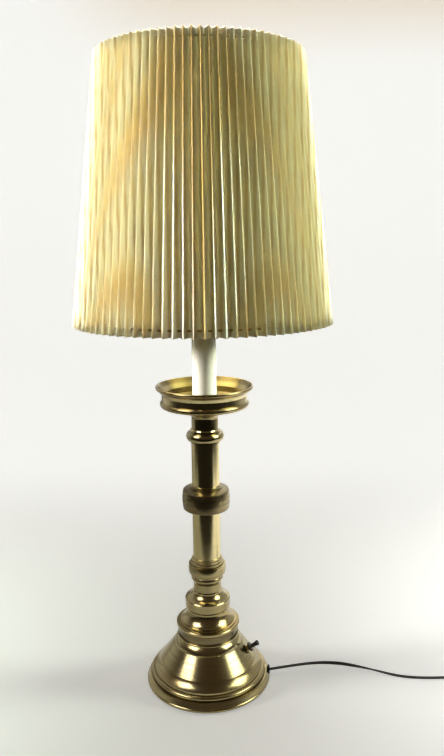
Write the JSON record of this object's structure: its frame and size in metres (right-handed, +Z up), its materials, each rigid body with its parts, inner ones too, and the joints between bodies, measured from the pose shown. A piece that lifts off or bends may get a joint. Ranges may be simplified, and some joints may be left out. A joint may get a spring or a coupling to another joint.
{
  "type": "candlestick table lamp",
  "caption": "Candlestick table lamp: turned brass column on a weighted round base, drip pan, white candle tube, pleated empire shade on a harp, turn switch on the base.",
  "frame": {"origin": "on the table under the lamp's axis, at the underside of the felt pad", "axes": "+Z up along the column, the cord leaves the foot towards +X, the front is -Y"},
  "size_m": [0.6962, 0.3972, 0.9976],
  "materials": {
    "polished_brass": "polished, lacquered, slightly aged",
    "bright_brass": "bright",
    "candle_white": "gloss",
    "black_plastic": "satin black",
    "zinc_steel": "zinc plated",
    "cast_iron": "as cast",
    "felt": "dark green felt",
    "pleated_fabric": "pleated cream fabric on paper, translucent",
    "bulb_glass": "frosted",
    "bulb_metal": "satin",
    "card_liner": "matt card",
    "dark_vinyl": "smooth vinyl"
  },
  "bodies": {
    "stand": {"base_shell": "polished_brass", "base_weight": "cast_iron", "bell_collar": "polished_brass", "candle_cap": "bright_brass", "candle_tube": "candle_white", "centre_contact": "bright_brass", "cord": "dark_vinyl", "cord_coil": "dark_vinyl", "cord_grommet": "black_plastic", "drip_pan": "polished_brass", "felt_pad": "felt", "harp_bow": "zinc_steel", "harp_saddle": "zinc_steel", "harp_stud": "zinc_steel", "lead_wires": "dark_vinyl", "lower_neck": "polished_brass", "lower_ring": "polished_brass", "lower_tube": "polished_brass", "middle_collar": "polished_brass", "pan_neck": "polished_brass", "pipe_nut": "zinc_steel", "pipe_washer": "zinc_steel", "plug_blades": "bright_brass", "plug_body": "dark_vinyl", "screw_shell": "bulb_metal", "socket_cap": "bright_brass", "socket_interior": "black_plastic", "socket_liner": "card_liner", "socket_shell": "bright_brass", "stepped_collar": "polished_brass", "switch_body": "black_plastic", "switch_bushing": "bright_brass", "switch_ring_nut": "black_plastic", "switch_washer": "bright_brass", "threaded_pipe": "zinc_steel", "upper_ring": "polished_brass", "upper_tube": "polished_brass"},
    "switch_knob_body": {"switch_knob": "black_plastic", "switch_shaft": "zinc_steel"},
    "shade": {"shade_pleats": "pleated_fabric", "shade_bottom_ring": "zinc_steel", "spider_ring": "zinc_steel", "spider_hub": "zinc_steel", "spider_arm_1": "zinc_steel", "spider_arm_2": "zinc_steel", "spider_arm_3": "zinc_steel"},
    "finial_body": {"finial": "bright_brass"},
    "bulb": {"bulb_glass": "bulb_glass", "bulb_base": "bulb_metal"},
    "left_sleeve": {"harp_sleeve_left": "zinc_steel"},
    "right_sleeve": {"harp_sleeve_right": "zinc_steel"}
  },
  "joints": [
    {"name": "switch_turn", "type": "hinge", "parent": "stand", "child": "switch_knob_body", "pos_m": [0.06607, -0.01165, 0.0565], "axis": [0.7917, -0.1396, 0.5948], "continuous": true},
    {"name": "shade_turn", "type": "hinge", "parent": "stand", "child": "shade", "pos_m": [0, 0, 0.9595], "axis": [0, 0, 1], "continuous": true},
    {"name": "finial_turn", "type": "hinge", "parent": "stand", "child": "finial_body", "pos_m": [0, 0, 0.97], "axis": [0, 0, 1], "continuous": true},
    {"name": "bulb_turn", "type": "hinge", "parent": "stand", "child": "bulb", "pos_m": [0, 0, 0.7], "axis": [0, 0, 1], "range_deg": [0, 1080]},
    {"name": "left_sleeve_slide", "type": "slide", "parent": "stand", "child": "left_sleeve", "axis": [0, 0, 1], "range_m": [0, 0.016]},
    {"name": "right_sleeve_slide", "type": "slide", "parent": "stand", "child": "right_sleeve", "axis": [0, 0, 1], "range_m": [0, 0.016]}
  ]
}
